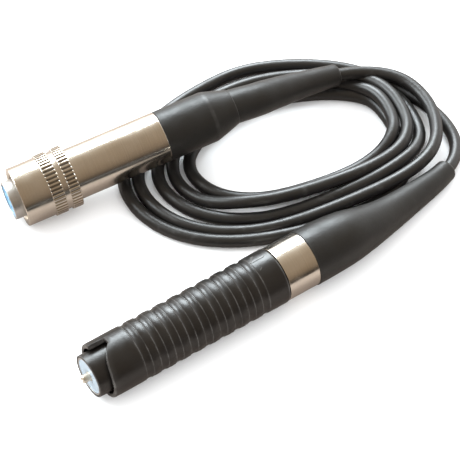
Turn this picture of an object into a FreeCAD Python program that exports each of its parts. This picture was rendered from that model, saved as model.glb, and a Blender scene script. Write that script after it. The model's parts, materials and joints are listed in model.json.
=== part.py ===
import FreeCAD, Part
import math
import os

# Sensor lead: a turn-lock probe head, a loosely looped cable and a circular
# cable connector.  Millimetres, +Z up.  The probe head lies along X with its
# tip towards -X.  The origin is under the middle of the head, on the floor.
# Head pieces are drawn about the X axis and lifted to AXIS_Z at the end.
# Connector pieces are drawn about their own X axis, with 0 at the insert's
# face, and placed by in_connector().

V = FreeCAD.Vector
X_AXIS = V(1, 0, 0)

# ---- probe head: stations along X ----
HEAD_HALF = 38.0
PIN_TIP_X = -HEAD_HALF
RING_END_X = HEAD_HALF
TIP_FACE_X = PIN_TIP_X + 2.0
SLEEVE_FRONT_X = TIP_FACE_X + 2.8
SLEEVE_LENGTH = 60.4
SLEEVE_END_X = SLEEVE_FRONT_X + SLEEVE_LENGTH
RING_FRONT_X = SLEEVE_END_X + 0.3
SHROUD_DEPTH = 15.8
CORE_FRONT_X = SLEEVE_FRONT_X + SHROUD_DEPTH
DISC_FACE_X = TIP_FACE_X + 0.25
CORE_REAR_X = RING_FRONT_X + 6.0

# ---- probe head: radii ----
CREST_R = 8.75
VALLEY_R = 8.30
EDGE_R = 8.60
SHROUD_BORE_R = 7.30
CORE_R = 6.80
RUNNING_GAP = 0.05
SLEEVE_BORE_R = CORE_R + RUNNING_GAP
CORE_BORE_R = 5.40
TIP_R = 6.60
TIP_WALL = 0.70
CONTACT_WALL = 0.45
PIN_R = 1.25
SHANK_R = 1.45
RING_R = 8.50
AXIS_Z = CREST_R

# ---- sleeve details ----
FRONT_ZONE = 11.3
RIB_PITCH = 4.95
RIB_WIDTH = 2.50
RIB_COUNT = 8
NOTCH_DEPTH = 5.2
NOTCH_SIDE_Y = 4.2
NOTCH_CORNER_Y = 1.9
RIM_SETBACK = 0.8

# ---- cable and its boots ----
CABLE_D = 4.0
CABLE_R = CABLE_D / 2
BOOT_LIP_R = 8.73

# ---- connector: stations along its axis, and radii ----
CON_FACE = V(-23.28, 66.66, 8.99)
CON_TURN = -8.4
CON_TILT = 5.0
CON_RING_FRONT = 2.9
KNURL_1 = (11.75, 15.55)
KNURL_2 = (17.2, 20.45)
BARREL_END = 50.5
INSERT_R = 6.00
INSERT_WALL = 0.55
INSERT_STEP = 8.0
INSERT_REAR_R = 6.30
RING_BORE_R = 7.60
THREAD_DEPTH = 0.35
THREAD_PITCH = 0.75
RING_BODY_R = 9.25
KNURL_R = 9.70
KNURL_TEETH = 48
THREAD_TURNS = 9
KNURL_TOOTH_DEPTH = 0.35
BARREL_R = 8.00
NECK_R = 7.00
PLUG_BOOT_R = 8.00
PLUG_BOOT_CYL = 16.0
PLUG_BOOT_TAPER = 8.0
SLEEVE_START_R = 5.40

# ---- loose coil: five turns, seen from above ----
# Half-widths of the outermost and innermost turns about COIL_CENTRE, towards +x',
# -y', -x' and +y' of a frame turned by COIL_TURN degrees.
COIL_CENTRE = (60.0, 45.0)
COIL_TURN = -12.0
COIL_OUTER = (50.0, 34.0, 49.0, 32.0)
COIL_INNER = (36.0, 20.0, 30.0, 17.0)
LAYER = 4.0
COIL_TO_BOOT = 0.4
UPPER_LAYER_TOP = 8.4

# ---- cable leads: hand-placed route points ----
PROBE_LEAD = [(20, 0, 8.75), (42, 0, 8.75), (60, -0.2, 7.6), (78, 2.2, 4.9), (92.5, 5.2, 3.6),
              (101, 8.7, 2.5), (106.2, 14.3, 2.0), (108.4, 22, 2.0), (108.1, 31, 2.0),
              (105.7, 40.5, 2.0)]
PLUG_LEAD = [(16.14, 60.84, 12.48), (37.82, 57.64, 14.39), (57, 54.9, 14.9), (74, 54.6, 11.4),
             (88, 53.9, 8.6), (98.6, 49.2, 7.0)]

os.makedirs("parts", exist_ok=True)


def save(name, shape):
    """Write one node, after checking that it is sound."""
    if not shape.isValid():
        raise ValueError(name + " is not a valid shape")
    solids = shape.Solids
    if not solids:
        raise ValueError(name + " has no solid")
    out = solids[0] if len(solids) == 1 else Part.makeCompound(solids)
    out.exportStep("parts/" + name + ".step")
    box = out.BoundBox
    print("%-18s %8.1f mm3  z %.2f to %.2f" % (name, out.Volume, box.ZMin, box.ZMax))


def rod(x0, x1, r, r_end=None):
    """Cylinder, or cone, along X from x0 to x1."""
    if r_end is None or abs(r_end - r) < 1e-9:
        return Part.makeCylinder(r, x1 - x0, V(x0, 0, 0), X_AXIS)
    return Part.makeCone(r, r_end, x1 - x0, V(x0, 0, 0), X_AXIS)


def tube(x0, x1, r_out, r_in):
    return rod(x0, x1, r_out).cut(rod(x0 - 1, x1 + 1, r_in))


def revolved(edges):
    """Turn a closed profile in the XZ plane about the X axis."""
    face = Part.Face(Part.Wire(edges))
    return face.revolve(V(0, 0, 0), X_AXIS, 360)


def fuse(shapes):
    out = shapes[0]
    for shape in shapes[1:]:
        out = out.fuse(shape)
    return out.removeSplitter()


def profile_line(points):
    return [Part.LineSegment(V(a[0], 0, a[1]), V(b[0], 0, b[1])).toShape()
            for a, b in zip(points, points[1:])]


def profile_arc(a, mid, b):
    return Part.Arc(V(a[0], 0, a[1]), V(mid[0], 0, mid[1]), V(b[0], 0, b[1])).toShape()


def in_head(shape):
    """Lift a piece drawn about the X axis to the head's axis."""
    out = shape.copy()
    out.translate(V(0, 0, AXIS_Z))
    return out


CON_PLACE = FreeCAD.Placement(CON_FACE, FreeCAD.Rotation(CON_TURN, -CON_TILT, 0))


def in_connector(shape):
    """Put a piece drawn about the X axis on the tilted connector axis."""
    out = shape.copy()
    out.Placement = CON_PLACE.multiply(out.Placement)
    return out


def tapered(stations):
    """Smooth solid through round sections, given as (centre, radius) stations."""
    centres = [V(*p) for p, r in stations]
    sections = []
    for i, (centre, (_, r)) in enumerate(zip(centres, stations)):
        along = centres[min(i + 1, len(centres) - 1)] - centres[max(i - 1, 0)]
        sections.append(Part.Wire([Part.Circle(centre, along, r).toShape()]))
    return Part.makeLoft(sections, True, False)


def cord(name, points, radius):
    """Round cable along straight runs joined by the largest tangent arcs."""
    pts = [V(*p) for p in points]
    edges = []
    here = pts[0]
    length = 0.0
    radii = []
    for before, at, after in zip(pts, pts[1:], pts[2:]):
        back, ahead = before - at, after - at
        shorter = min(back.Length, ahead.Length)
        half_turn = (math.pi - back.getAngle(ahead)) / 2
        trim = 0.45 * shorter
        bend = trim / math.tan(half_turn)
        start = at + V(back).normalize() * trim
        end = at + V(ahead).normalize() * trim
        bisector = (V(back).normalize() + V(ahead).normalize()).normalize()
        centre = at + bisector * (bend / math.cos(half_turn))
        mid = centre - bisector * bend
        edges.append(Part.LineSegment(here, start).toShape())
        edges.append(Part.Arc(start, mid, end).toShape())
        length += (start - here).Length + bend * 2 * half_turn
        radii.append(bend)
        here = end
    edges.append(Part.LineSegment(here, pts[-1]).toShape())
    length += (pts[-1] - here).Length
    path = Part.Wire(edges)
    section = Part.Wire([Part.Circle(pts[0], pts[1] - pts[0], radius).toShape()])
    shape = path.makePipeShell([section], True, False)
    expected = math.pi * radius * radius * length
    print("%s arc radii: %s" % (name, " ".join("%.0f" % r for r in radii)))
    print("%s length %.1f mm, volume %.1f of %.1f" % (name, length, shape.Volume, expected))
    save(name, shape)


# ================= probe head =================

def lock_sleeve():
    """Ribbed turning sleeve with a notched shroud and a moulded arrow."""
    front, end = SLEEVE_FRONT_X, SLEEVE_END_X
    soft = 0.6
    edges = profile_line([(front, SHROUD_BORE_R), (front, EDGE_R - soft / 2)])
    edges += profile_line([(front, EDGE_R - soft / 2), (front + soft, CREST_R - 0.05)])
    x = front + FRONT_ZONE
    edges += profile_line([(front + soft, CREST_R - 0.05), (x, CREST_R - 0.05), (x, EDGE_R)])
    groove = RIB_PITCH - RIB_WIDTH
    for number in range(RIB_COUNT + 1):
        edges.append(profile_arc((x, EDGE_R), (x + groove / 2, VALLEY_R), (x + groove, EDGE_R)))
        x += groove
        if number < RIB_COUNT:
            edges.append(profile_arc((x, EDGE_R), (x + RIB_WIDTH / 2, CREST_R),
                                     (x + RIB_WIDTH, EDGE_R)))
            x += RIB_WIDTH
    edges += profile_line([(x, EDGE_R), (x, CREST_R - 0.05), (end - 0.4, CREST_R - 0.05),
                           (end, EDGE_R - 0.2), (end, SLEEVE_BORE_R), (CORE_FRONT_X, SLEEVE_BORE_R),
                           (CORE_FRONT_X, SHROUD_BORE_R), (front, SHROUD_BORE_R)])
    body = revolved(edges)
    body = body.cut(notch_cutter()).cut(rim_cutter()).cut(seal_groove())
    return body.fuse(index_arrow())


def seal_groove():
    """Room inside the sleeve for the O-ring on the core."""
    return tube(SEAL_X - 0.9, SEAL_X + 0.9, SLEEVE_BORE_R + 0.5, SLEEVE_BORE_R - 1)


def notch_cutter():
    """Step in the top of the shroud with a straight side and an S-shaped side."""
    ahead = SLEEVE_FRONT_X - 2
    deep = SLEEVE_FRONT_X + NOTCH_DEPTH
    shallow = SLEEVE_FRONT_X + RIM_SETBACK
    reach = CREST_R + 1
    flank = Part.BezierCurve()
    flank.setPoles([V(deep, NOTCH_CORNER_Y, 0), V(deep - 2.6, -0.6, 0),
                    V(shallow + 0.4, -3.0, 0), V(shallow, -reach, 0)])
    edges = [Part.LineSegment(V(ahead, NOTCH_SIDE_Y, 0), V(deep, NOTCH_SIDE_Y, 0)).toShape(),
             Part.LineSegment(V(deep, NOTCH_SIDE_Y, 0), V(deep, NOTCH_CORNER_Y, 0)).toShape(),
             flank.toShape(),
             Part.LineSegment(V(shallow, -reach, 0), V(ahead, -reach, 0)).toShape(),
             Part.LineSegment(V(ahead, -reach, 0), V(ahead, NOTCH_SIDE_Y, 0)).toShape()]
    return Part.Face(Part.Wire(edges)).extrude(V(0, 0, reach))


def rim_cutter():
    """Sets the lower part of the rim on the notch's open side back a little."""
    reach = CREST_R + 1
    corner = V(SLEEVE_FRONT_X - 2, -reach, -reach)
    return Part.makeBox(2 + RIM_SETBACK, reach + 1.5, reach + 0.01, corner)


def index_arrow():
    """Small raised arrowhead on the rear collar, pointing at the ring."""
    tail = SLEEVE_END_X - 5.2
    nose = SLEEVE_END_X - 1.6
    half = 1.5
    low, high = CREST_R - 0.8, CREST_R + 0.12
    corners = [V(tail, -half, low), V(nose, 0, low), V(tail, half, low), V(tail, -half, low)]
    prism = Part.Face(Part.makePolygon(corners)).extrude(V(0, 0, high - low))
    prism = prism.common(rod(tail - 1, nose + 1, high))
    prism.rotate(V(0, 0, 0), X_AXIS, 8)
    return prism


SEAL_X = CORE_REAR_X - 14.0
CLIP_X = CORE_FRONT_X + 1.6
TIP_REAR_X = CORE_FRONT_X + 6.0
O_RING_X = TIP_FACE_X + 11.6


def tip_housing():
    """Black cylinder inside the shroud, with a plug that enters the core."""
    skirt = rod(TIP_FACE_X + 0.35, CORE_FRONT_X, TIP_R)
    lead_in = rod(TIP_FACE_X, TIP_FACE_X + 0.35, TIP_R - 0.35, TIP_R)
    plug = rod(CORE_FRONT_X, TIP_REAR_X, CORE_BORE_R)
    body = fuse([lead_in, skirt, plug])
    body = body.cut(rod(TIP_FACE_X - 1, TIP_FACE_X + 10, TIP_R - TIP_WALL))
    body = body.cut(rod(TIP_FACE_X + 5, TIP_REAR_X + 1, 2.2))
    groove = tube(O_RING_X - 0.7, O_RING_X + 0.7, TIP_R + 1, TIP_R - 0.6)
    return body.cut(groove)


def outer_contact():
    """Thin metal ring inside the tip, level with its face."""
    r_out = TIP_R - TIP_WALL
    return tube(TIP_FACE_X + 0.1, TIP_FACE_X + 10, r_out, r_out - CONTACT_WALL)


def tip_insulator():
    """Pale disc and its stem, round the centre contact."""
    r_out = TIP_R - TIP_WALL - CONTACT_WALL
    disc = rod(DISC_FACE_X, TIP_FACE_X + 10, r_out)
    stem = rod(TIP_FACE_X + 10, TIP_REAR_X - 1, 2.2)
    return fuse([disc, stem]).cut(rod(TIP_FACE_X - 1, TIP_REAR_X + 1, SHANK_R))


def centre_contact():
    """Turned pin with a wider shank and a solder cup at the back."""
    soft = 0.35
    nose = rod(PIN_TIP_X, PIN_TIP_X + soft, PIN_R - soft, PIN_R)
    tip = rod(PIN_TIP_X + soft, DISC_FACE_X, PIN_R)
    shank = rod(DISC_FACE_X, TIP_REAR_X + 3, SHANK_R)
    cup = rod(TIP_REAR_X, TIP_REAR_X + 4, 0.8)
    return fuse([nose, tip, shank]).cut(cup)


def o_ring(x, r_mid, r_section):
    return Part.makeTorus(r_mid, r_section, V(x, 0, 0), X_AXIS)


def core_tube():
    """Metal tube that carries everything; the sleeve turns on it."""
    body = tube(CORE_FRONT_X, CORE_REAR_X, CORE_R, CORE_BORE_R)
    body = body.cut(tube(CLIP_X - 0.5, CLIP_X + 0.5, CORE_R + 1, CORE_R - 0.6))
    return body.cut(tube(SEAL_X - 0.8, SEAL_X + 0.8, CORE_R + 1, CORE_R - 0.85))


def sleeve_clip():
    """Open spring ring in the core's front groove; it stops the sleeve."""
    ring = tube(CLIP_X - 0.4, CLIP_X + 0.4, CORE_R - 0.05, CORE_R - 0.58)
    return ring.cut(Part.makeBox(2, 2.4, 4, V(CLIP_X - 1, -1.2, -CORE_R - 1)))


def steel_ring():
    """Bright end ring, pressed on the core and holding the boot."""
    bore = tube(RING_FRONT_X, RING_END_X, RING_R, CORE_R)
    soft = 0.25
    front = rod(RING_FRONT_X - 1, RING_FRONT_X + soft, RING_R + 1)
    front = front.cut(rod(RING_FRONT_X, RING_FRONT_X + soft, RING_R - soft, RING_R))
    return bore.cut(front.cut(rod(RING_FRONT_X - 2, RING_FRONT_X, RING_R + 2)))


BOARD_FRONT_X = TIP_REAR_X + 4.5
BOARD_LENGTH = 26.6
BOARD_WIDTH = 8.6
BOARD_THICK = 1.0
BOARD_REAR_X = BOARD_FRONT_X + BOARD_LENGTH


def circuit_board():
    board = Part.makeBox(BOARD_LENGTH, BOARD_WIDTH, BOARD_THICK,
                         V(BOARD_FRONT_X, -BOARD_WIDTH / 2, -BOARD_THICK))
    for x in (BOARD_FRONT_X + 1.2, BOARD_REAR_X - 1.2):
        for side in (-1, 1):
            board = board.cut(Part.makeCylinder(0.4, 3, V(x, side * 2.2, -2)))
    return board


def board_parts():
    """Chip, capacitor can and three small parts, side by side on the board."""
    chip = Part.makeBox(6.0, 4.4, 1.5, V(BOARD_FRONT_X + 9, -2.2, 0))
    can = Part.makeCylinder(1.8, 3.2, V(BOARD_FRONT_X + 5.2, 0, 0))
    small = [Part.makeBox(1.9, 1.2, 0.6, V(BOARD_FRONT_X + 17.5 + 2.7 * i, -0.6, 0))
             for i in range(3)]
    return Part.makeCompound([chip, can] + small)


def signal_wires():
    """Two thin wires from the board's rear pads to the cable's end."""
    wires = []
    for side in (-1, 1):
        pad = V(BOARD_REAR_X - 2.4, side * 2.2, 0.35)
        wires.append(Part.makeCylinder(0.35, PROBE_LEAD[0][0] - pad.x, pad, X_AXIS))
    return Part.makeCompound(wires)


def potting_plug():
    """Resin that seals the core round the cable."""
    return tube(PROBE_LEAD[0][0] + 0.6, CORE_REAR_X - 0.5, CORE_BORE_R, CABLE_R)


def crimp_ferrule():
    return tube(CORE_REAR_X, RING_END_X - 0.4, CABLE_R + 0.6, CABLE_R)


PROBE_BOOT = [((RING_END_X, 0, AXIS_Z), BOOT_LIP_R), ((45.0, 0, AXIS_Z), 8.62),
              ((52.5, -0.1, 8.45), 8.1), ((60.0, 0.1, 7.5), 6.85), ((69.0, 1.0, 6.3), 5.5),
              ((80.0, 2.9, 5.0), 4.5), ((90.0, 4.9, 3.9), 3.75), ((95.8, 6.5, 3.5), 3.4)]


def probe_boot():
    """Tapered rubber boot, moulded over the cable and plugged into the ring."""
    spigot = Part.makeCylinder(CORE_R, RING_END_X - CORE_REAR_X, V(CORE_REAR_X, 0, AXIS_Z), X_AXIS)
    room = Part.makeCylinder(CABLE_R + 0.6, 12, V(CORE_REAR_X - 1, 0, AXIS_Z), X_AXIS)
    room = room.common(Part.makeBox(20, 20, 30, V(RING_END_X - 20.4, -10, -5)))
    return spigot.fuse(tapered(PROBE_BOOT)).cut(room)


# ================= connector =================

CON_SHELL_REAR = 24.0
NECK_END = 22.0


def contact_shell():
    """Metal insert: the round rim that enters the mating socket."""
    outside = fuse([rod(0, 0.2, INSERT_R - 0.2, INSERT_R), rod(0.2, INSERT_STEP, INSERT_R),
                    rod(INSERT_STEP, CON_SHELL_REAR, INSERT_REAR_R)])
    shell = outside.cut(rod(-1, CON_SHELL_REAR + 1, INSERT_R - INSERT_WALL))
    key = Part.makeBox(7, 1.4, 0.7, V(0.4, -0.7, INSERT_R - INSERT_WALL - 0.65))
    return shell.fuse(key)


def contact_insulator():
    """Blue disc with a ring of contact holes and one in the middle."""
    body = rod(0.45, 14.0, INSERT_R - INSERT_WALL)
    body = body.cut(Part.makeBox(8, 1.6, 0.9, V(0.3, -0.8, INSERT_R - INSERT_WALL - 0.75)))
    for y, z in contact_places():
        body = body.cut(Part.makeCylinder(0.75, 16, V(0, y, z), X_AXIS))
    return body


def contact_places():
    """Contact centres: six on a circle and one in the middle."""
    places = [(0.0, 0.0)]
    for i in range(6):
        angle = math.radians(30 + 60 * i)
        places.append((3.1 * math.cos(angle), 3.1 * math.sin(angle)))
    return places


def contact_sockets():
    sockets = []
    for y, z in contact_places():
        body = Part.makeCylinder(0.75, 16.4, V(0.7, y, z), X_AXIS)
        body = body.cut(Part.makeCylinder(0.5, 5, V(0.5, y, z), X_AXIS))
        sockets.append(body)
    return Part.makeCompound(sockets)


def coupling_ring():
    """Turning ring with two knurled bands; its bore holds the thread."""
    front = CON_RING_FRONT
    end = KNURL_2[1]
    body = rod(front + 0.3, end, RING_BODY_R).fuse(rod(front, front + 0.3, RING_BODY_R - 0.3,
                                                       RING_BODY_R))
    for x0, x1 in (KNURL_1, KNURL_2):
        band = tube(x0, x1, KNURL_R, RING_BODY_R - 0.5)
        body = body.fuse(knurled(band, x0, x1))
    step = NECK_R + RUNNING_GAP
    body = body.cut(rod(front - 1, KNURL_2[0] - 0.6, RING_BORE_R))
    body = body.cut(rod(front - 1, end + 1, step))
    for turn in range(THREAD_TURNS):
        x = front + 0.8 + THREAD_PITCH * turn
        half = THREAD_PITCH * 0.4
        groove = rod(x - half, x, RING_BORE_R, RING_BORE_R + THREAD_DEPTH)
        groove = groove.fuse(rod(x, x + half, RING_BORE_R + THREAD_DEPTH, RING_BORE_R))
        body = body.cut(groove)
    return body


def knurled(band, x0, x1):
    """Cut straight teeth along a band."""
    cutters = []
    half = 0.33
    for i in range(KNURL_TEETH):
        tip = V(0, 0, KNURL_R - KNURL_TOOTH_DEPTH)
        left = V(0, -half, KNURL_R + 0.1)
        right = V(0, half, KNURL_R + 0.1)
        groove = Part.Face(Part.makePolygon([tip, left, right, tip])).extrude(V(x1 - x0 + 0.2, 0, 0))
        groove.translate(V(x0 - 0.1, 0, 0))
        groove.rotate(V(0, 0, 0), X_AXIS, 360.0 / KNURL_TEETH * i)
        cutters.append(groove)
    return band.cut(Part.makeCompound(cutters))


def barrel():
    """Long nickel housing; its narrow neck carries the coupling ring."""
    neck = rod(KNURL_2[0] - 3.0, NECK_END, NECK_R)
    flange = rod(KNURL_2[1] + 0.15, BARREL_END - 0.4, BARREL_R)
    edge = rod(BARREL_END - 0.4, BARREL_END, BARREL_R, BARREL_R - 0.4)
    body = fuse([neck, flange, edge])
    body = body.cut(rod(KNURL_2[0] - 4, CON_SHELL_REAR, INSERT_REAR_R))
    body = body.cut(rod(CON_SHELL_REAR - 0.1, BARREL_END + 1, BARREL_R - 1.2))
    return body.cut(tube(KNURL_2[0] - 1.8, KNURL_2[0] - 1.0, NECK_R + 1, NECK_R - 0.5))


def ring_clip():
    """Spring ring in the neck's groove, in front of the coupling ring's step."""
    ring = tube(KNURL_2[0] - 1.7, KNURL_2[0] - 1.1, NECK_R + 0.35, NECK_R - 0.45)
    return ring.cut(Part.makeBox(2, 2.4, 4, V(KNURL_2[0] - 2.4, -1.2, -NECK_R - 2)))


def clamp_basket():
    """Slotted plastic cone that grips the cable."""
    body = tube(34.0, 42.0, BARREL_R - 1.25, CABLE_R + 1.6)
    for i in range(4):
        slot = Part.makeBox(5, 1.2, 8, V(37.5, -0.6, 0))
        slot.rotate(V(0, 0, 0), X_AXIS, 90 * i)
        body = body.cut(slot)
    return body


def clamp_seal():
    return tube(36.5, 43.0, CABLE_R + 1.55, CABLE_R + 0.03)


def pinch_nut():
    """Nut inside the barrel's end that presses the clamp on the cable."""
    body = tube(43.1, BARREL_END - 0.5, BARREL_R - 1.25, CABLE_R + 0.3)
    for side in (-1, 1):
        body = body.cut(Part.makeBox(3, 3, 1.4, V(BARREL_END - 2.2, side * 5.6 - 1.5, -0.7)))
    return body


def plug_wires():
    """Thin wires from the cable's end to the contacts."""
    wires = []
    for y, z in contact_places()[1:4]:
        wires.append(Part.makeCylinder(0.35, 39.9 - 17.2, V(17.2, y * 0.4, z * 0.4), X_AXIS))
    return Part.makeCompound(wires)


def plug_boot():
    """First stage of the boot: a wide cylinder and a short taper."""
    x0 = BARREL_END
    x1 = x0 + PLUG_BOOT_CYL
    x2 = x1 + PLUG_BOOT_TAPER
    return fuse([rod(x0, x1, PLUG_BOOT_R), rod(x1, x2, PLUG_BOOT_R, SLEEVE_START_R + 0.35)])


CABLE_SLEEVE = [((50.0, 55.75, 15.45), SLEEVE_START_R), ((58.1, 54.7, 14.6), 5.2),
                ((67.3, 54.7, 12.7), 4.75), ((76.5, 54.4, 10.8), 4.1), ((87.3, 53.5, 8.8), 3.5)]


def coil_outline(half_widths, grow):
    """Closed oval of four quarter ellipses about the coil's centre."""
    right, near, left, far = [h + grow for h in half_widths]
    quarters = [((right, 0), (0, -near)), ((0, -near), (-left, 0)), ((-left, 0), (0, far)),
                ((0, far), (right, 0))]
    blend = 0.62
    edges = []
    for (ax, ay), (bx, by) in quarters:
        curve = Part.BezierCurve()
        first = (ax + bx * blend, ay + by * blend)
        second = (bx + ax * blend, by + ay * blend)
        curve.setPoles([V(ax, ay, 0), V(first[0], first[1], 0), V(second[0], second[1], 0),
                        V(bx, by, 0)])
        edges.append(curve.toShape())
    return Part.Face(Part.Wire(edges))


def cable_coil():
    """Outer shape of the five loose turns: one layer, with two on the right."""
    flat = coil_outline(COIL_OUTER, CABLE_R).cut(coil_outline(COIL_INNER, -CABLE_R))
    ring = flat.extrude(V(0, 0, UPPER_LAYER_TOP))
    ring.rotate(V(0, 0, 0), V(0, 0, 1), COIL_TURN)
    ring.translate(V(COIL_CENTRE[0], COIL_CENTRE[1], 0))
    size = 200
    low = Part.makeBox(size, size, LAYER, V(-40, -60, 0))
    high_near = Part.makeBox(size, 95, UPPER_LAYER_TOP, V(50, -60, 0))
    high_far = Part.makeBox(size, size, UPPER_LAYER_TOP, V(93, -60, 0))
    ring = ring.common(fuse([low, high_near, high_far])).removeSplitter()
    return ring.cut(tapered([(p, r + COIL_TO_BOOT) for p, r in PROBE_BOOT]))


def build():
    save("lock_sleeve", in_head(lock_sleeve()))
    save("tip_housing", in_head(tip_housing()))
    save("outer_contact", in_head(outer_contact()))
    save("tip_insulator", in_head(tip_insulator()))
    save("centre_contact", in_head(centre_contact()))
    save("tip_o_ring", in_head(o_ring(O_RING_X, TIP_R - 0.05, 0.5)))
    save("core_tube", in_head(core_tube()))
    save("sleeve_clip", in_head(sleeve_clip()))
    save("sleeve_seal", in_head(o_ring(SEAL_X, CORE_R - 0.1, 0.6)))
    save("steel_ring", in_head(steel_ring()))
    save("circuit_board", in_head(circuit_board()))
    save("board_parts", in_head(board_parts()))
    save("signal_wires", in_head(signal_wires()))
    save("potting_plug", in_head(potting_plug()))
    save("crimp_ferrule", in_head(crimp_ferrule()))
    save("probe_boot", probe_boot())

    cord("cable_probe_lead", PROBE_LEAD, CABLE_R)
    save("cable_coil", cable_coil())
    cord("cable_plug_lead", PLUG_LEAD, CABLE_R)

    save("contact_shell", in_connector(contact_shell()))
    save("contact_insulator", in_connector(contact_insulator()))
    save("contact_sockets", in_connector(contact_sockets()))
    save("coupling_ring", in_connector(coupling_ring()))
    save("ring_clip", in_connector(ring_clip()))
    save("shell_o_ring", in_connector(o_ring(INSERT_STEP + 2, INSERT_REAR_R + 0.5, 0.5)))
    save("barrel", in_connector(barrel()))
    save("clamp_basket", in_connector(clamp_basket()))
    save("clamp_seal", in_connector(clamp_seal()))
    save("pinch_nut", in_connector(pinch_nut()))
    save("plug_wires", in_connector(plug_wires()))
    save("plug_boot", in_connector(plug_boot()))
    save("cable_sleeve", tapered(CABLE_SLEEVE))


build()
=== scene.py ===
import bpy
import json
import math
from mathutils import Matrix, Vector


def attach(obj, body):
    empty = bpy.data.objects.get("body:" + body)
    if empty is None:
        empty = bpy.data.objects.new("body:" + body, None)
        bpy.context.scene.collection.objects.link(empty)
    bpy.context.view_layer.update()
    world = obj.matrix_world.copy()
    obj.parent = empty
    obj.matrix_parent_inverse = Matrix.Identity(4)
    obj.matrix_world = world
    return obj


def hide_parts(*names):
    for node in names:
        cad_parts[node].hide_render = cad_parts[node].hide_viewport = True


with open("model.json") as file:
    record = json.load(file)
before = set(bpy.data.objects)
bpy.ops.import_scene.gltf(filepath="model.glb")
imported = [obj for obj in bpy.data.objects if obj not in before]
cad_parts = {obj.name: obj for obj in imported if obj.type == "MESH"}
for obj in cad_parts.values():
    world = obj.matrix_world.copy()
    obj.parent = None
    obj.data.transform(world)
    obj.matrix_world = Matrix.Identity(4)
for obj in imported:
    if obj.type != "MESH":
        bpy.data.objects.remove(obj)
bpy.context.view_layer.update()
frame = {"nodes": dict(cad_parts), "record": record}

MM = 0.001

# ---------------------------------------------------------------- camera

TARGET = Vector((29.6, 26.5, 0.0)) * MM
AZIMUTH = math.radians(-33.86)
ELEVATION = math.radians(52.5)
DISTANCE = 602.9 * MM
SENSOR = 36.0
LENS = 156.5


def make_camera():
    data = bpy.data.cameras.new("camera")
    data.sensor_width = SENSOR
    data.lens = LENS
    cam = bpy.data.objects.new("camera", data)
    bpy.context.scene.collection.objects.link(cam)
    back = Vector((math.sin(AZIMUTH) * math.cos(ELEVATION),
                   -math.cos(AZIMUTH) * math.cos(ELEVATION), math.sin(ELEVATION)))
    cam.location = TARGET + back * DISTANCE
    cam.rotation_euler = back.to_track_quat("Z", "Y").to_euler()
    bpy.context.scene.camera = cam


make_camera()

# ---------------------------------------------------------------- cable

CABLE_R = 2.0 * MM
FLOOR_Z = 2.0
RAISED_Z = 6.3

# route points in millimetres, as in the part's source, but for the plug lead's last two, which
# follow the loops
PROBE_LEAD = [(20, 0, 8.75), (42, 0, 8.75), (60, -0.2, 7.6), (78, 2.2, 4.9), (92.5, 5.2, 3.6),
              (101, 8.7, 2.5), (106.2, 14.3, 2.0), (108.4, 22, 2.0), (108.1, 31, 2.0),
              (105.7, 40.5, 2.0)]
PLUG_LEAD = [(16.14, 60.84, 12.48), (37.82, 57.64, 14.39), (57, 54.9, 14.9), (74, 54.6, 11.4),
             (88, 53.9, 8.5), (99.2, 49.9, 6.6)]
# the leads' own first stretches inside the coil's solid
PROBE_TAIL = [(101.6, 50.5, 2.0), (95.6, 59.2, 2.0), (87.6, 66.2, 2.0), (78.4, 72, 2.0),
              (68.6, 76.2, 2.0)]
PLUG_TAIL = [(105.5, 43.2, 6.4), (107.2, 34.4, 6.3)]

COIL_CENTRE = (60.3, 45.5)
COIL_TURN = math.radians(-11)
# half-widths of a loop of size 1 towards right, near, left and far
OVAL = (48, 31.5, 46, 26)
# (quarter turn from which it holds, size), counted from the first right-hand end
SIZES = [(0, 1.02), (4, 0.77), (8, 0.88), (12, 0.65), (17, 1.12), (19, 1.22)]
# the loops lie closer together at the right: how much of a size shows there
RIGHT_SHARE = 0.7
# how pointed each quarter is, 1 for an ellipse: right to near, near to left, left to far,
# far to right
POINTED = (0.6, 0.9, 1.1, 1.1)
# stretches that ride over other turns: start, full height, still full, down again,
# counted in quarter turns from the first right-hand end
HUMPS = [(-9, -8, 0.75, 1.25), (3.45, 3.75, 5.3, 5.75), (6.1, 6.45, 7.3, 7.6), (8.2, 8.5, 8.72, 9.1),
         (11.5, 11.85, 12.4, 12.8)]
STEPS_PER_QUARTER = 4
QUARTERS = 19


def smooth(t):
    t = min(max(t, 0.0), 1.0)
    return t * t * (3 - 2 * t)


def lift(s):
    for start, full, still, down in HUMPS:
        if start <= s <= down:
            return smooth((s - start) / (full - start)) * (1 - smooth((s - still) / (down - still)))
    return 0.0


def half_width(quarter):
    """How far the loops reach at a whole number of quarter turns."""
    size = [value for start, value in SIZES if start <= quarter][-1]
    if quarter % 4 == 0:
        size = 1 + RIGHT_SHARE * (size - 1)
    return OVAL[quarter % 4] * size


def turn_point(s):
    """Point of the loops at s quarter turns, going right, near, left, far."""
    whole = int(s)
    angle = (s - whole) * math.pi / 2
    pointed = POINTED[whole % 4]
    along = half_width(whole) * math.cos(angle) ** pointed
    across = half_width(whole + 1) * math.sin(angle) ** pointed
    x, y = [(along, -across), (-across, -along), (-along, across), (across, along)][whole % 4]
    c, k = math.cos(COIL_TURN), math.sin(COIL_TURN)
    return (COIL_CENTRE[0] + x * c - y * k, COIL_CENTRE[1] + x * k + y * c,
            FLOOR_Z + (RAISED_Z - FLOOR_Z) * lift(s))


def cable_points():
    coil = [turn_point((i + 0.5) / STEPS_PER_QUARTER) for i in range(QUARTERS * STEPS_PER_QUARTER)]
    return (PROBE_LEAD + PROBE_TAIL + list(reversed(coil)) + list(reversed(PLUG_TAIL))
            + list(reversed(PLUG_LEAD)))


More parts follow.
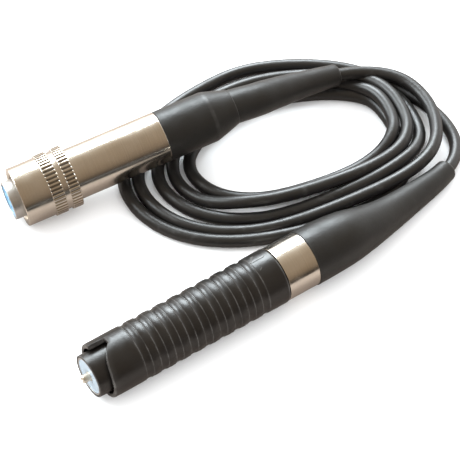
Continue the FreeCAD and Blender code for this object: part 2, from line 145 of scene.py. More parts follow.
def spline_curve(name, points, radius):
    """Round cord along one smooth spline through the route's points."""
    data = bpy.data.curves.new(name, "CURVE")
    data.dimensions = "3D"
    spline = data.splines.new("NURBS")
    spline.points.add(len(points) - 1)
    for point, p in zip(spline.points, points):
        point.co = (p[0] * MM, p[1] * MM, p[2] * MM, 1.0)
    spline.order_u = 3
    spline.use_endpoint_u = True
    data.resolution_u = 8
    data.bevel_depth = radius
    data.bevel_resolution = 5
    data.use_fill_caps = True
    obj = bpy.data.objects.new(name, data)
    bpy.context.scene.collection.objects.link(obj)
    return obj

# ---------------------------------------------------------------- driving dimensions
# the same names and values as in the part's source, in millimetres

AXIS_Z = 8.75
TIP_FACE_X = -36.0
PIN_TIP_X = -38.0
RING_END_X = 38.0
SLEEVE_FRONT_X = TIP_FACE_X + 2.8
SLEEVE_END_X = SLEEVE_FRONT_X + 60.4
RING_FRONT_X = SLEEVE_END_X + 0.3
CORE_FRONT_X = SLEEVE_FRONT_X + 15.8
DISC_FACE_X = TIP_FACE_X + 0.25
TIP_REAR_X = CORE_FRONT_X + 6.0
O_RING_X = TIP_FACE_X + 11.6
CREST_R, VALLEY_R, EDGE_R = 8.75, 8.30, 8.60
SHROUD_BORE_R, SLEEVE_BORE_R, CORE_R = 7.30, 6.85, 6.80
TIP_R, TIP_WALL, CONTACT_WALL = 6.60, 0.70, 0.45
PIN_R, SHANK_R, RING_R = 1.25, 1.45, 8.50
FRONT_ZONE, RIB_PITCH, RIB_WIDTH, RIB_COUNT = 11.3, 4.95, 2.50, 8
NOTCH_DEPTH, NOTCH_SIDE_Y, NOTCH_CORNER_Y, RIM_SETBACK = 5.2, 4.2, 1.9, 0.8

CON_FACE = (-23.28, 66.66, 8.99)
CON_TURN, CON_TILT = -8.4, 5.0
CON_RING_FRONT = 2.9
KNURL_1 = (11.75, 15.55)
KNURL_2 = (17.2, 20.45)
BARREL_END = 50.5
INSERT_R, INSERT_WALL, INSERT_STEP, INSERT_REAR_R = 6.00, 0.55, 8.0, 6.30
RING_BORE_R, RING_BODY_R, KNURL_R, KNURL_TEETH, KNURL_TOOTH_DEPTH = 7.60, 9.25, 9.70, 48, 0.35
THREAD_DEPTH, THREAD_PITCH, THREAD_TURNS = 0.35, 0.75, 9
BARREL_R, NECK_R, CON_SHELL_REAR = 8.00, 7.00, 24.0
PLUG_BOOT_R, PLUG_BOOT_CYL, PLUG_BOOT_TAPER, SLEEVE_START_R = 8.00, 16.0, 8.0, 5.40

PROBE_BOOT = [((38.0, 0, 8.75), 8.73), ((45.0, 0, 8.75), 8.62), ((52.5, -0.1, 8.45), 8.1),
              ((60.0, 0.1, 7.5), 6.85), ((69.0, 1.0, 6.3), 5.5), ((80.0, 2.9, 5.0), 4.5),
              ((90.0, 4.9, 3.9), 3.75), ((95.8, 6.5, 3.5), 3.4)]
CABLE_SLEEVE = [((50.0, 55.75, 15.45), 5.4), ((58.1, 54.7, 14.6), 5.2), ((67.3, 54.7, 12.7), 4.75),
                ((76.5, 54.4, 10.8), 4.1), ((87.3, 53.5, 8.8), 3.5)]

ON_HEAD = Matrix.Translation((0, 0, AXIS_Z * MM))
ON_CONNECTOR = (Matrix.Translation(Vector(CON_FACE) * MM)
                @ Matrix.Rotation(math.radians(CON_TURN), 4, "Z")
                @ Matrix.Rotation(math.radians(-CON_TILT), 4, "Y"))
PLUG_AXIS = tuple(ON_CONNECTOR.to_3x3() @ Vector((1, 0, 0)))

# ---------------------------------------------------------------- materials


class Nodes:
    """Small helper for building one material's node tree."""

    def __init__(self, name):
        self.mat = bpy.data.materials.new(name)
        self.mat.use_nodes = True
        self.tree = self.mat.node_tree
        self.bsdf = self.tree.nodes["Principled BSDF"]
        self.coord = self.add("ShaderNodeTexCoord").outputs["Object"]

    def add(self, kind, **values):
        node = self.tree.nodes.new(kind)
        for key, value in values.items():
            setattr(node, key, value)
        return node

    def put(self, socket, value):
        if isinstance(value, bpy.types.NodeSocket):
            self.tree.links.new(value, socket)
        elif isinstance(value, tuple) and len(value) == 3 and socket.type == "RGBA":
            socket.default_value = value + (1.0,)
        else:
            socket.default_value = value

    def noise(self, scale, stretch=(1, 1, 1), detail=3.0, offset=0.0):
        """Noise over the piece's own coordinates, scale in cells per metre."""
        mapping = self.add("ShaderNodeMapping")
        self.put(mapping.inputs["Vector"], self.coord)
        mapping.inputs["Scale"].default_value = stretch
        mapping.inputs["Location"].default_value = (offset, offset * 0.7, offset * 1.3)
        node = self.add("ShaderNodeTexNoise")
        self.put(node.inputs["Vector"], mapping.outputs[0])
        self.put(node.inputs["Scale"], scale)
        self.put(node.inputs["Detail"], detail)
        return node.outputs["Fac"]

    def span(self, value, low, high, start=0.3, end=0.7):
        """value mapped from start..end to low..high, clamped."""
        node = self.add("ShaderNodeMapRange")
        self.put(node.inputs["Value"], value)
        for key, number in (("From Min", start), ("From Max", end), ("To Min", low),
                            ("To Max", high)):
            node.inputs[key].default_value = number
        return node.outputs["Result"]

    def mix(self, factor, a, b):
        node = self.add("ShaderNodeMix", data_type="RGBA")
        self.put(node.inputs[0], factor)
        self.put(node.inputs[6], a)
        self.put(node.inputs[7], b)
        return node.outputs[2]

    def math(self, operation, a, b):
        node = self.add("ShaderNodeMath", operation=operation)
        self.put(node.inputs[0], a)
        self.put(node.inputs[1], b)
        return node.outputs[0]

    def edge(self):
        return self.add("ShaderNodeAttribute", attribute_name="edge").outputs["Fac"]

    def bump(self, height, distance, strength=1.0, normal=None):
        node = self.add("ShaderNodeBump")
        self.put(node.inputs["Height"], height)
        node.inputs["Distance"].default_value = distance
        node.inputs["Strength"].default_value = strength
        if normal is not None:
            self.put(node.inputs["Normal"], normal)
        return node.outputs["Normal"]

    def set(self, **values):
        for key, value in values.items():
            self.put(self.bsdf.inputs[key.replace("_", " ")], value)
        return self.mat


def scaled(colour, k):
    return tuple(min(c * k, 1.0) for c in colour)


def moulded(name, colour, rough, grain=2600, depth=0.00002, edge_highlight=(0.16, 0.15, 0.14), amount=0.55,
            level=0.5):
    """Moulded plastic or rubber: cloudy tone, fine grain, uneven gloss, and a painted highlight along
    marked edges.
    """
    n = Nodes(name)
    cloud = n.noise(90, detail=4.0)
    fine = n.noise(grain, detail=2.0, offset=3.1)
    tone = n.mix(n.span(cloud, 0.0, 1.0), scaled(colour, 0.8), scaled(colour, 1.25))
    tone = n.mix(n.span(fine, 0.0, 0.25), tone, scaled(colour, 1.7))
    # painted highlight: edges marked by the edge attribute are mixed towards a lighter colour, broken up
    # by noise, and made a little glossier
    edge_glint = n.math("MULTIPLY", n.edge(), n.span(n.noise(420, offset=7.7), 0.15 * amount, amount))
    tone = n.mix(edge_glint, tone, edge_highlight)
    gloss = n.math("ADD", n.span(n.noise(260, offset=1.7), rough - 0.05, rough + 0.07),
                   n.math("MULTIPLY", edge_glint, -0.12))
    normal = n.bump(fine, depth, 0.6)
    normal = n.bump(n.noise(160, detail=2.0, offset=5.5), depth * 5, 0.5, normal)
    normal = n.bump(n.noise(800, detail=2.0, offset=4.1), depth * 2, 0.6, normal)
    return n.set(Base_Color=tone, Roughness=gloss, Normal=normal, Specular_IOR_Level=level)


def turned(name, colour, rough, dark=0.8, rings=0.00001, satin=0.0, axis=(1.0, 0.0, 0.0)):
    """Turned and plated metal: fine rings round its own axis, faint stains, uneven gloss, a painted
    highlight on rounded edges and painted shade in knurl grooves.
    """
    n = Nodes(name)
    stain = n.noise(75, detail=5.0, offset=2.2)
    along = n.add("ShaderNodeVectorMath", operation="DOT_PRODUCT")
    n.put(along.inputs[0], n.coord)
    along.inputs[1].default_value = axis
    ring = n.add("ShaderNodeTexNoise", noise_dimensions="1D")
    n.put(ring.inputs["W"], along.outputs["Value"])
    n.put(ring.inputs["Scale"], 2600.0)
    n.put(ring.inputs["Detail"], 2.0)
    lines = ring.outputs["Fac"]
    tone = n.mix(n.span(stain, 0.0, 0.5), colour, scaled(colour, dark))
    tone = n.mix(n.span(lines, 0.0, 0.22), tone, scaled(colour, dark * 0.92))
    # painted highlight: rounded edges (positive edge values) made lighter
    tone = n.mix(n.math("MULTIPLY", n.edge(), 0.5), tone, scaled(colour, 1.25))
    # painted shade: knurl groove bottoms (negative edge values) made darker
    tone = n.mix(n.math("MULTIPLY", n.edge(), -0.8), tone, scaled(colour, 0.25))
    gloss = n.math("ADD", n.span(n.noise(210, offset=4.4), rough - 0.04, rough + 0.06),
                   n.span(lines, 0.0, 0.04))
    normal = n.bump(lines, rings, 0.5)
    normal = n.bump(n.noise(420, detail=3.0, offset=6.6), 0.00001, 0.5, normal)
    if satin:
        normal = n.bump(n.noise(5200, detail=1.0, offset=9.1), satin, 0.8, normal)
    return n.set(Base_Color=tone, Metallic=1.0, Roughness=gloss, Normal=normal)


def jacket():
    """Extruded cable jacket: long faint drag lines and dull scuffs."""
    n = Nodes("cable_jacket")
    base = (0.0070, 0.0060, 0.0053)
    cloud = n.noise(120, detail=5.0)
    fine = n.noise(3100, detail=2.0, offset=2.9)
    tone = n.mix(n.span(cloud, 0.0, 1.0), scaled(base, 0.75), scaled(base, 1.3))
    scuff = n.span(n.noise(330, detail=6.0, offset=6.1), 0.0, 0.35, 0.6, 0.75)
    tone = n.mix(scuff, tone, (0.06, 0.057, 0.055))
    gloss = n.math("ADD", n.span(cloud, 0.37, 0.46), n.math("MULTIPLY", scuff, 0.2))
    normal = n.bump(fine, 0.000012, 0.5)
    normal = n.bump(n.noise(1000, detail=2.0, offset=4.6), 0.00008, 0.7, normal)
    normal = n.bump(n.noise(230, detail=1.0, offset=8.3), 0.00012, 0.35, normal)
    return n.set(Base_Color=tone, Roughness=gloss, Normal=normal, Specular_IOR_Level=0.7)


def glassy(name, colour, rough, clear=0.15):
    """Cast or moulded insulator: slightly translucent look, faint flow marks."""
    n = Nodes(name)
    flow = n.noise(380, stretch=(1, 0.5, 1), detail=4.0)
    tone = n.mix(n.span(flow, 0.0, 1.0), scaled(colour, 0.9), scaled(colour, 1.06))
    gloss = n.span(n.noise(700, offset=3.3), rough - 0.05, rough + 0.08)
    normal = n.bump(n.noise(1500, detail=2.0), 0.00001, 0.4)
    n.set(Subsurface_Weight=clear, Subsurface_Radius=(0.001, 0.001, 0.001))
    return n.set(Base_Color=tone, Roughness=gloss, Normal=normal)


MATERIALS = {
    "black_polymer": moulded("black_polymer", (0.0068, 0.0052, 0.0040), 0.33, amount=0.38),
    "boot_rubber": moulded("boot_rubber", (0.0086, 0.0075, 0.0063), 0.42, grain=2100,
                           depth=0.00003, amount=0.1, level=0.45),
    "cable_jacket": jacket(),
    "bright_nickel": turned("bright_nickel", (0.78, 0.72, 0.635), 0.14, dark=0.74),
    "plug_nickel": turned("plug_nickel", (0.78, 0.72, 0.635), 0.14, dark=0.74, axis=PLUG_AXIS),
    "satin_nickel": turned("satin_nickel", (0.66, 0.65, 0.63), 0.34, satin=0.00002,
                           axis=PLUG_AXIS),
    "white_insulator": glassy("white_insulator", (0.31, 0.37, 0.42), 0.35),
    "brass": turned("brass", (0.88, 0.83, 0.72), 0.32, dark=0.88),
    "seal_rubber": moulded("seal_rubber", (0.02, 0.02, 0.02), 0.5),
    "spring_steel": turned("spring_steel", (0.5, 0.5, 0.5), 0.3),
    "board_laminate": glassy("board_laminate", (0.04, 0.22, 0.09), 0.35, clear=0.02),
    "component_black": moulded("component_black", (0.03, 0.03, 0.033), 0.55, amount=0.2),
    "wire_insulation": glassy("wire_insulation", (0.55, 0.08, 0.06), 0.35, clear=0.05),
    "potting_resin": glassy("potting_resin", (0.09, 0.08, 0.07), 0.25, clear=0.05),
    "crimp_metal": turned("crimp_metal", (0.6, 0.58, 0.53), 0.35),
    "blue_insulator": glassy("blue_insulator", (0.18, 0.40, 0.62), 0.35),
    "clamp_plastic": moulded("clamp_plastic", (0.42, 0.42, 0.40), 0.5, edge_highlight=(0.6, 0.6, 0.58)),
    "nut_metal": turned("nut_metal", (0.66, 0.62, 0.54), 0.32),
}

# ---------------------------------------------------------------- meshes


def make_object(name, vertices, faces, place, edges, slot, body, nodes, finish=None):
    """One piece: its mesh, its place, its finish, its body and the CAD nodes it stands for."""
    mesh = bpy.data.meshes.new(name)
    mesh.from_pydata([tuple(place @ (Vector(v) * MM)) for v in vertices], [], faces)
    mesh.validate()
    # edge attribute: positive on rounded corners, beads and mark rims, where the finishes paint a
    # highlight; negative in knurl grooves, where the metal finishes paint shade
    attribute = mesh.attributes.new("edge", "FLOAT", "POINT")
    attribute.data.foreach_set("value", edges)
    mesh.polygons.foreach_set("use_smooth", [True] * len(mesh.polygons))
    mesh.set_sharp_from_angle(angle=math.radians(38))
    mesh.materials.append(MATERIALS[finish or slot])
    obj = bpy.data.objects.new(name, mesh)
    bpy.context.scene.collection.objects.link(obj)
    weighted = obj.modifiers.new("normals", "WEIGHTED_NORMAL")
    weighted.keep_sharp = True
    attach(obj, body)
    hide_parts(*nodes)
    return obj


def soften(profile, radius, closed=True):
    """(x, r, edge) rows of a profile with each corner rounded. A corner is (x, r) or
    (x, r, its own radius)."""
    rows = []
    count = len(profile)
    for i, corner in enumerate(profile):
        here = Vector(corner[:2])
        if not closed and i in (0, count - 1):
            rows.append((here.x, here.y, 0.0))
            continue
        before = Vector(profile[i - 1][:2]) - here
        after = Vector(profile[(i + 1) % count][:2]) - here
        size = corner[2] if len(corner) > 2 else radius
        reach = min(size, 0.45 * before.length, 0.45 * after.length)
        if reach < 0.004 or math.pi - before.angle(after) < 0.12:
            rows.append((here.x, here.y, 0.0))
            continue
        a, b = here + before.normalized() * reach, here + after.normalized() * reach
        for t in (0.0, 0.25, 0.5, 0.75, 1.0):
            p = a * (1 - t) ** 2 + here * 2 * t * (1 - t) + b * t * t
            rows.append((p.x, p.y, 1.0 if 0.2 < t < 0.8 else 0.0))
    return rows


def skin(columns, closed_rows=True):
    """Faces that join columns of vertices round the axis; the columns wrap round."""
    faces = []
    rows, around = len(columns[0]), len(columns)
    for c in range(around):
        d = (c + 1) % around
        for r in range(rows if closed_rows else rows - 1):
            s = (r + 1) % rows
            faces.append((c * rows + r, d * rows + r, d * rows + s, c * rows + s))
    return faces


def lathe(name, rows, slot, body, nodes, place=ON_HEAD, segments=192, angles=None, reshape=None,
          finish=None):
    """Closed profile rows (x, r, edge) turned about the X axis. reshape may change a row's
    radius and edge at an angle."""
    angles = angles or [2 * math.pi * i / segments for i in range(segments)]
    columns, edges = [], []
    for number, angle in enumerate(angles):
        column = []
        for x, r, edge in rows:
            if reshape:
                r, edge = reshape(number, r, edge)
            column.append((x, r * math.sin(angle), r * math.cos(angle)))
            edges.append(edge)
        columns.append(column)
    vertices = [v for column in columns for v in column]
    return make_object(name, vertices, skin(columns), place, edges, slot, body, nodes, finish)


# ---------------------------------------------------------------- probe head


def rim_table():
    """(angle, distance back from the foremost rim) along the shroud's rim."""
    flank = [(NOTCH_DEPTH, NOTCH_CORNER_Y), (NOTCH_DEPTH - 2.6, -0.6), (RIM_SETBACK + 0.4, -3.0),
             (RIM_SETBACK, -CREST_R - 1)]
    table = [(-180.0, RIM_SETBACK)]
    for i in range(24, -1, -1):
        t = i / 24
        weights = ((1 - t) ** 3, 3 * t * (1 - t) ** 2, 3 * t * t * (1 - t), t ** 3)
        back = sum(w * p[0] for w, p in zip(weights, flank))
        side = sum(w * p[1] for w, p in zip(weights, flank))
        if side > -CREST_R:
            table.append((math.degrees(math.asin(side / CREST_R)), back))
    corner = math.degrees(math.asin(NOTCH_SIDE_Y / CREST_R))
    table += [(corner - 1.6, NOTCH_DEPTH), (corner - 0.6, NOTCH_DEPTH - 0.35),
              (corner - 0.1, NOTCH_DEPTH - 1.2), (corner + 0.25, 1.0), (corner + 0.7, 0.25),
              (corner + 1.8, 0.0), (168.0, 0.0), (174.0, RIM_SETBACK), (180.0, RIM_SETBACK)]
    return table


def rim_back(angle, table):
    for (a, va), (b, vb) in zip(table, table[1:]):
        if a <= angle <= b:
            return va + (vb - va) * (angle - a) / max(b - a, 1e-9)
    return table[0][1]


def rib_rows():
    """Ribs and grooves as (x, r, edge), with a thin raised bead on each rib's edge."""
    rows = []
    x = SLEEVE_FRONT_X + FRONT_ZONE
    groove = RIB_PITCH - RIB_WIDTH
    steps = 8

    # each bead's edge value paints a lighter highlight line along it
    def bead(at):
        rows.extend([(at - 0.14, EDGE_R + 0.01, 0.3), (at - 0.05, EDGE_R + 0.09, 1.0),
                     (at + 0.05, EDGE_R + 0.09, 1.0), (at + 0.14, EDGE_R + 0.01, 0.3)])

    def arch(start, width, peak):
        for i in range(1, steps):
            t = i / steps
            rows.append((start + width * t, EDGE_R + (peak - EDGE_R) * math.sin(math.pi * t) ** 1.2,
                         0.0))

    for number in range(RIB_COUNT + 1):
        bead(x)
        arch(x, groove, VALLEY_R)
        x += groove
        bead(x)
        if number < RIB_COUNT:
            arch(x, RIB_WIDTH, CREST_R)
            x += RIB_WIDTH
    return rows


def make_sleeve():
    table = rim_table()
    shared = rib_rows()
    last = shared[-1][0]
    shared += [(last + 0.35, CREST_R - 0.05, 0.0), (SLEEVE_END_X - 0.55, CREST_R - 0.05, 0.0),
               (SLEEVE_END_X - 0.22, CREST_R - 0.12, 1.0), (SLEEVE_END_X - 0.04, EDGE_R - 0.12, 1.0),
               (SLEEVE_END_X, EDGE_R - 0.3, 0.0), (SLEEVE_END_X, SLEEVE_BORE_R, 0.0),
               (CORE_FRONT_X, SLEEVE_BORE_R, 0.0), (CORE_FRONT_X, SHROUD_BORE_R, 0.0)]
    start = SLEEVE_FRONT_X + FRONT_ZONE - 0.5
    lip = [(0.45, SHROUD_BORE_R, 0.0), (0.12, SHROUD_BORE_R + 0.1, 0.6), (0.0, SHROUD_BORE_R + 0.35, 1.0),
           (0.0, CREST_R - 0.55, 1.0), (0.07, CREST_R - 0.3, 1.0), (0.22, CREST_R - 0.13, 1.0),
           (0.5, CREST_R - 0.06, 0.2)]
    angles = [-180 + 1.5 * i for i in range(240)]
    angles = sorted(angles + [25.3 + 0.3 * i for i in range(21)])
    columns, edges = [], []
    for degrees in angles:
        depth = 1.0 - 0.5 * min(max((-degrees - 5.0) / 45.0, 0.0), 1.0)
        back = SLEEVE_FRONT_X + rim_back(degrees, table)
        rows = [(back + x, r, e) for x, r, e in lip]
        inner = back + lip[-1][0]
        rows += [(inner + (start - inner) * t / 6, CREST_R - 0.05, 0.0) for t in range(1, 7)]
        rows += [(x, EDGE_R + (r - EDGE_R) * depth if r < EDGE_R and VALLEY_R <= r else r, e)
                 for x, r, e in shared]
        angle = math.radians(degrees)
        columns.append([(x, r * math.sin(angle), r * math.cos(angle)) for x, r, e in rows])
        edges += [e for x, r, e in rows]
    vertices = [v for column in columns for v in column]
    return make_object("turn_sleeve", vertices, skin(columns), ON_HEAD, edges, "black_polymer",
                       "lock_sleeve", ["lock_sleeve"])


def raised_mark(name, outline, height, body):
    """Moulded mark on the sleeve: outline is (x, degrees from the top) corners."""
    top = CREST_R + height - 0.05
    count = len(outline)
    centre_x = sum(p[0] for p in outline) / count
    centre_a = sum(p[1] for p in outline) / count
    vertices, edges = [], []
    for scale, r, edge in ((1.0, CREST_R - 0.4, 0.0), (1.0, top - 0.08, 1.0), (0.86, top, 1.0)):
        for x, degrees in outline:
            angle = math.radians(centre_a + (degrees - centre_a) * scale)
            at = centre_x + (x - centre_x) * scale
            vertices.append((at, r * math.sin(angle), r * math.cos(angle)))
            edges.append(edge)
    faces = []
    for ring in range(2):
        for i in range(count):
            j = (i + 1) % count
            faces.append((ring * count + i, ring * count + j, (ring + 1) * count + j,
                          (ring + 1) * count + i))
    faces.append(tuple(2 * count + i for i in range(count)))
    faces.append(tuple(reversed(range(count))))
    return make_object(name, vertices, faces, ON_HEAD, edges, "black_polymer", body, [])


def make_head():
    make_sleeve()
    raised_mark("arrow_shaft", [(20.7, 13.5), (25.0, 13.5), (25.0, 18.0), (20.7, 18.0)], 0.12,
                "lock_sleeve")
    raised_mark("arrow_barb", [(20.1, 15.0), (20.9, 13.6), (22.9, 30.5), (22.1, 33.0)], 0.12,
                "lock_sleeve")
    raised_mark("index_pip", [(21.1, -10.4), (21.9, -8.8), (22.3, -5.0), (21.5, -6.6)], 0.10,
                "lock_sleeve")
    bore = TIP_R - TIP_WALL
    lathe("tip_body", soften([
        (TIP_FACE_X, bore, 0.12), (TIP_FACE_X, TIP_R, 0.5), (O_RING_X - 0.7, TIP_R, 0.1),
        (O_RING_X - 0.7, TIP_R - 0.6, 0.05), (O_RING_X + 0.7, TIP_R - 0.6, 0.05),
        (O_RING_X + 0.7, TIP_R, 0.1), (CORE_FRONT_X, TIP_R), (CORE_FRONT_X, 5.4),
        (TIP_REAR_X, 5.4), (TIP_REAR_X, 2.2), (TIP_FACE_X + 10, 2.2), (TIP_FACE_X + 10, bore)],
        0.1), "black_polymer", "root", ["tip_housing"])
    inner = bore - CONTACT_WALL
    lathe("tip_contact_ring", soften([
        (TIP_FACE_X + 0.1, inner, 0.08), (TIP_FACE_X + 0.1, bore - 0.01, 0.08),
        (TIP_FACE_X + 10, bore - 0.01), (TIP_FACE_X + 10, inner)], 0.05),
        "bright_nickel", "root", ["outer_contact"], finish="satin_nickel")
    lathe("tip_disc", soften([
        (DISC_FACE_X + 0.12, SHANK_R), (DISC_FACE_X + 0.12, 1.95, 0.1), (DISC_FACE_X, 2.15, 0.1),
        (DISC_FACE_X, inner - 0.02, 0.12), (TIP_FACE_X + 10, inner - 0.02),
        (TIP_FACE_X + 10, 2.2), (TIP_REAR_X - 1, 2.2), (TIP_REAR_X - 1, SHANK_R)], 0.08),
        "white_insulator", "root", ["tip_insulator"], segments=96)
    lathe("centre_pin_contact", soften([
        (PIN_TIP_X, 0.35, 0.15), (PIN_TIP_X, PIN_R, 0.45), (DISC_FACE_X, PIN_R, 0.03),
        (DISC_FACE_X + 0.02, SHANK_R, 0.03), (TIP_REAR_X + 3, SHANK_R), (TIP_REAR_X + 3, 0.8),
        (TIP_REAR_X, 0.8), (TIP_REAR_X, 0.35), (PIN_TIP_X + 0.9, 0.3)], 0.05),
        "brass", "root", ["centre_contact"], segments=64)
    lathe("end_ring", soften([
        (RING_FRONT_X, CORE_R), (RING_FRONT_X, RING_R, 0.3), (RING_END_X - 0.01, RING_R, 0.2),
        (RING_END_X - 0.01, CORE_R)], 0.05), "bright_nickel", "root", ["steel_ring"])


# ---------------------------------------------------------------- boots


def between(values, t):
    """Smooth value through evenly numbered values, at t."""
    i = min(int(t), len(values) - 2)
    f = t - i
    p0, p1 = values[max(i - 1, 0)], values[i]
    p2, p3 = values[i + 1], values[min(i + 2, len(values) - 1)]
    return 0.5 * (2 * p1 + (p2 - p0) * f + (2 * p0 - 5 * p1 + 4 * p2 - p3) * f * f
                  + (3 * p1 - p0 - 3 * p2 + p3) * f ** 3)


def swept(name, stations, slot, nodes, start_lip, end_round, ripple, per_span=12, around=96):
    """Tapered rubber tube through round stations, hollow at its far end for the cable."""
    spans = len(stations) - 1
    centres = [Vector(p) for p, r in stations]
    radii = [r for p, r in stations]
    samples = []
    for k in range(spans * per_span + 1):
        t = k / per_span
        samples.append((between(centres, t), between(radii, t), t))
    rings = []
    total = len(samples)
    for k, (centre, r, t) in enumerate(samples):
        ahead = samples[min(k + 1, total - 1)][0] - samples[max(k - 1, 0)][0]
        along = Vector((1, 0, 0)) if k == 0 and start_lip else ahead.normalized()
        rings.append((centre, along, r + ripple(t), 0.0))
    if start_lip:
        centre, along, r, _ = rings[0]
        rings = [(centre, along, r - 2.2, 0.0), (centre, along, r - 0.28, 0.0),
                 (centre + along * 0.06, along, r - 0.08, 1.0),
                 (centre + along * 0.25, along, r, 0.6)] + rings[1:]
    centre, along, r, _ = rings[-1]
    for ahead, drop, edge in ((0.35, 0.12, 0.5), (0.65, 0.4, 1.0), (0.8, end_round, 0.6)):
        rings.append((centre + along * ahead, along, r - drop, edge))
    rings.append((centre + along * 0.4, along, 2.02, 0.0))
    rings.append((centre - along * 3.0, along, 2.02, 0.0))
    vertices, edges, columns = [], [], []
    for i in range(around):
        angle = 2 * math.pi * i / around
        column = []
        for centre, along, r, edge in rings:
            side = Vector((0, 0, 1)).cross(along).normalized()
            up = along.cross(side)
            column.append(tuple(centre + side * (-r * math.sin(angle)) + up * (r * math.cos(angle))))
            edges.append(edge)
        columns.append(column)
    vertices = [v for column in columns for v in column]
    faces = skin(columns, closed_rows=False)
    rows = len(rings)
    faces.append(tuple(i * rows for i in reversed(range(around))))
    faces.append(tuple(i * rows + rows - 1 for i in range(around)))
    return make_object(name, vertices, faces, Matrix.Identity(4), edges, slot, "root", nodes)


def make_boots():
    """The two tapered boots and the wide first stage of the plug's boot."""
    probe = swept("probe_boot_skin", PROBE_BOOT, "boot_rubber", ["probe_boot"], True, 0.9,
                  lambda t: 0.0)
    inside_plug_boot = [((45.71, 56.47, 15.09), 5.2)]
    sleeve = swept("cable_sleeve_skin", inside_plug_boot + CABLE_SLEEVE, "boot_rubber",
                   ["cable_sleeve"], False, 0.8,
                   lambda t: 0.03 * math.sin(t * 9.0) if t > 2 else 0.0)
    x0 = BARREL_END
    x1 = x0 + PLUG_BOOT_CYL
    x2 = x1 + PLUG_BOOT_TAPER
    plug = lathe("plug_boot_skin", soften([
        (x0 + 0.02, 2.6), (x0 + 0.02, PLUG_BOOT_R - 0.02, 0.3), (x1, PLUG_BOOT_R - 0.02, 0.8),
        (x2, SLEEVE_START_R + 0.15, 0.4), (x2 + 0.1, 4.6, 0.1), (x2, 2.6)],
        0.1), "boot_rubber", "root", ["plug_boot"], place=ON_CONNECTOR)
    return probe, sleeve, plug


# ---------------------------------------------------------------- connector


# one knurl tooth: place along the pitch and share of the groove's depth
TOOTH = [(0.0, 1.0), (0.12, 1.0), (0.24, 0.6), (0.34, 0.12), (0.46, 0.0), (0.66, 0.0), (0.78, 0.12),
         (0.88, 0.6)]


def knurl_angles():
    """Angles of each tooth's samples, for all teeth."""
    step = 2 * math.pi / KNURL_TEETH
    return [step * (i + at) for i in range(KNURL_TEETH) for at, depth in TOOTH]


def make_connector():
    front, end = CON_RING_FRONT, KNURL_2[1]
    body, band, waist = RING_BODY_R, KNURL_R, RING_BODY_R - 0.12
    outline = [(front, RING_BORE_R + 0.35, 0.1), (front, body, 0.28), (KNURL_1[0], body, 0.05),
               (KNURL_1[0] + 0.02, band, 0.32), (KNURL_1[1] - 0.02, band, 0.32),
               (KNURL_1[1], waist, 0.05), (KNURL_2[0], waist, 0.05),
               (KNURL_2[0] + 0.02, band, 0.32), (end, band, 0.32), (end, NECK_R + 0.05),
               (KNURL_2[0] - 0.6, NECK_R + 0.05), (KNURL_2[0] - 0.6, RING_BORE_R)]
    for turn in reversed(range(THREAD_TURNS)):
        x = front + 0.8 + THREAD_PITCH * turn
        half = THREAD_PITCH * 0.4
        outline += [(x + half, RING_BORE_R, 0.02), (x, RING_BORE_R + THREAD_DEPTH, 0.02),
                    (x - half, RING_BORE_R, 0.02)]

    def teeth(number, r, edge):
        depth = TOOTH[number % len(TOOTH)][1]
        if r <= body + 0.02:
            return r, edge
        # a negative edge value in the grooves, where the metal finish paints shade
        return (max(r - KNURL_TOOTH_DEPTH * depth, min(r, body + 0.02)),
                -depth if depth > 0.2 else edge)

    ring = lathe("knurled_ring", soften(outline, 0.05), "bright_nickel", "coupling_ring",
                 ["coupling_ring"], place=ON_CONNECTOR, angles=knurl_angles(), reshape=teeth,
                 finish="plug_nickel")
    neck = KNURL_2[0] - 3.0
    groove = KNURL_2[0] - 1.8
    start = end + 0.15
    barrel = lathe("long_barrel", soften([
        (neck, INSERT_REAR_R), (neck, NECK_R), (groove, NECK_R), (groove, NECK_R - 0.5),
        (groove + 0.8, NECK_R - 0.5), (groove + 0.8, NECK_R), (start, NECK_R),
        (start, BARREL_R, 0.25), (BARREL_END - 0.01, BARREL_R, 0.3), (BARREL_END - 0.01, BARREL_R - 1.2),
        (CON_SHELL_REAR - 0.1, BARREL_R - 1.2), (CON_SHELL_REAR - 0.1, INSERT_REAR_R)], 0.06),
        "bright_nickel", "root", ["barrel"], place=ON_CONNECTOR, finish="plug_nickel")
    bore = INSERT_R - INSERT_WALL
    insert = lathe("insert_rim", soften([
        (0, bore, 0.12), (0, INSERT_R, 0.25), (INSERT_STEP, INSERT_R, 0.04),
        (INSERT_STEP, INSERT_REAR_R, 0.15), (CON_SHELL_REAR, INSERT_REAR_R),
        (CON_SHELL_REAR, bore)], 0.05), "bright_nickel", "root", ["contact_shell"],
        place=ON_CONNECTOR, finish="satin_nickel")
    return ring, barrel, insert


def finish_cad_nodes():
    """Every node still shown takes the finish of its material slot."""
    for part in frame["record"]["subparts"]:
        obj = frame["nodes"][part["node"]]
        mat = MATERIALS[part["material_slot"]]
        if not obj.material_slots:
            obj.data.materials.append(mat)
        for place in obj.material_slots:
            place.material = mat


# ---------------------------------------------------------------- the lead

finish_cad_nodes()
make_head()
boots = make_boots()
plug = make_connector()

cable = spline_curve("sensor_cable", cable_points(), CABLE_R)
cable.data.materials.append(MATERIALS["cable_jacket"])
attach(cable, "root")
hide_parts("cable_probe_lead", "cable_coil", "cable_plug_lead")

# ---------------------------------------------------------------- floor and light

SHEET = (-0.30, -0.09, 0.30, 0.75)
SHEET_TONE = (0.31, 0.265, 0.235)


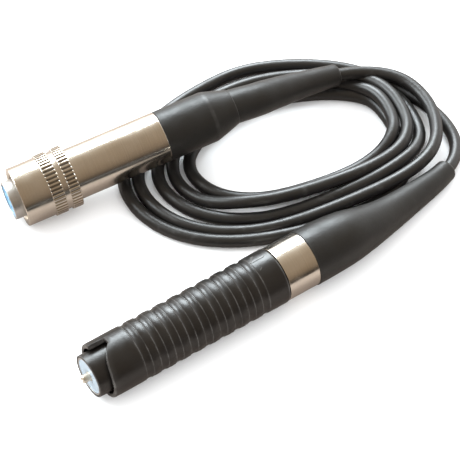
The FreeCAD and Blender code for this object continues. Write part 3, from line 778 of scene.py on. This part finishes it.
def make_floor():
    """White floor; reflections see only the sheet close to the lead, and see it dimmer."""
    n = Nodes("floor")
    tone = n.mix(n.span(n.noise(3), 0.0, 1.0), (0.92, 0.92, 0.92), (0.95, 0.95, 0.95))
    glossy = n.add("ShaderNodeLightPath").outputs["Is Glossy Ray"]
    tone = n.mix(glossy, tone, SHEET_TONE)
    white = n.set(Base_Color=tone, Roughness=0.95, Specular_IOR_Level=0.1)
    x0, y0, x1, y1 = SHEET
    s = 1.6
    outer = [(-s, -s, 0), (s, -s, 0), (s, s, 0), (-s, s, 0)]
    inner = [(x0, y0, 0), (x1, y0, 0), (x1, y1, 0), (x0, y1, 0)]
    parts = [("sheet", inner, [(0, 1, 2, 3)]),
             ("floor", outer + inner, [(0, 1, 5, 4), (1, 2, 6, 5), (2, 3, 7, 6), (3, 0, 4, 7)])]
    for name, corners, faces in parts:
        mesh = bpy.data.meshes.new(name)
        mesh.from_pydata(corners, [], faces)
        mesh.materials.append(white)
        obj = bpy.data.objects.new(name, mesh)
        bpy.context.scene.collection.objects.link(obj)
        obj.visible_glossy = name == "sheet"


def area_light(name, place, aim, size, watts, colour=(1, 1, 1)):
    data = bpy.data.lights.new(name, "AREA")
    data.shape = "DISK"
    data.size = size
    data.energy = watts
    data.color = colour
    obj = bpy.data.objects.new(name, data)
    obj.location = place
    obj.rotation_euler = (Vector(place) - Vector(aim)).to_track_quat("Z", "Y").to_euler()
    bpy.context.scene.collection.objects.link(obj)


# what shiny pieces mirror, from straight down in front (0) by the front horizon (0.25),
# overhead (0.5) and the back horizon (0.75) to straight down behind (1)
REFLECTED = [(0.0, (0.022, 0.017, 0.013)), (0.255, (0.026, 0.020, 0.015)),
             (0.275, (0.07, 0.053, 0.038)), (0.32, (0.13, 0.097, 0.066)), (0.39, (0.175, 0.134, 0.092)),
             (0.50, (0.215, 0.172, 0.125)), (0.56, (0.29, 0.245, 0.19)), (0.60, (0.52, 0.49, 0.44)),
             (0.66, (1.0, 1.0, 1.0)), (1.0, (1.0, 1.0, 1.0))]
REFLECTED_STRENGTH = 1.9
EVEN_STRENGTH = 1.8


def make_world():
    """Studio: even white light, and for reflections a bright wall behind, a warm ceiling and a
    dark horizon in front."""
    world = bpy.data.worlds.new("studio")
    world.use_nodes = True
    tree = world.node_tree
    tree.nodes.clear()

    def add(kind, **values):
        node = tree.nodes.new(kind)
        for key, value in values.items():
            setattr(node, key, value)
        return node

    def link(a, b):
        tree.links.new(a, b)

    coord = add("ShaderNodeTexCoord")
    split = add("ShaderNodeSeparateXYZ")
    link(coord.outputs["Generated"], split.inputs[0])
    front = add("ShaderNodeVectorMath", operation="DOT_PRODUCT")
    front.inputs[1].default_value = (-0.557, -0.83, 0.0)
    link(coord.outputs["Generated"], front.inputs[0])
    turn = add("ShaderNodeMath", operation="ARCTAN2")
    link(split.outputs["Z"], turn.inputs[0])
    link(front.outputs["Value"], turn.inputs[1])
    part = add("ShaderNodeMath", operation="MULTIPLY_ADD")
    link(turn.outputs[0], part.inputs[0])
    part.inputs[1].default_value = 0.5 / math.pi
    part.inputs[2].default_value = 0.25
    whole = add("ShaderNodeMath", operation="FRACT")
    link(part.outputs[0], whole.inputs[0])
    ramp = add("ShaderNodeValToRGB")
    link(whole.outputs[0], ramp.inputs[0])
    elements = ramp.color_ramp.elements
    for place, colour in REFLECTED[1:-1]:
        elements.new(place)
    for element, (place, colour) in zip(elements, REFLECTED):
        element.position = place
        element.color = colour + (1.0,)
    seen = add("ShaderNodeBackground")
    link(ramp.outputs[0], seen.inputs["Color"])
    seen.inputs["Strength"].default_value = REFLECTED_STRENGTH
    even = add("ShaderNodeBackground")
    even.inputs["Color"].default_value = (1.0, 1.0, 1.0, 1.0)
    even.inputs["Strength"].default_value = EVEN_STRENGTH
    path = add("ShaderNodeLightPath")
    choose = add("ShaderNodeMixShader")
    link(path.outputs["Is Glossy Ray"], choose.inputs[0])
    link(even.outputs[0], choose.inputs[1])
    link(seen.outputs[0], choose.inputs[2])
    out = add("ShaderNodeOutputWorld")
    link(choose.outputs[0], out.inputs["Surface"])
    bpy.context.scene.world = world


make_floor()
area_light("back", (0.42, 0.80, 0.62), TARGET, 0.6, 16, (0.86, 0.95, 1.0))
area_light("left", (-0.40, 0.60, 0.56), TARGET, 0.5, 7, (0.86, 0.95, 1.0))
make_world()
bpy.context.scene.view_settings.view_transform = "Standard"
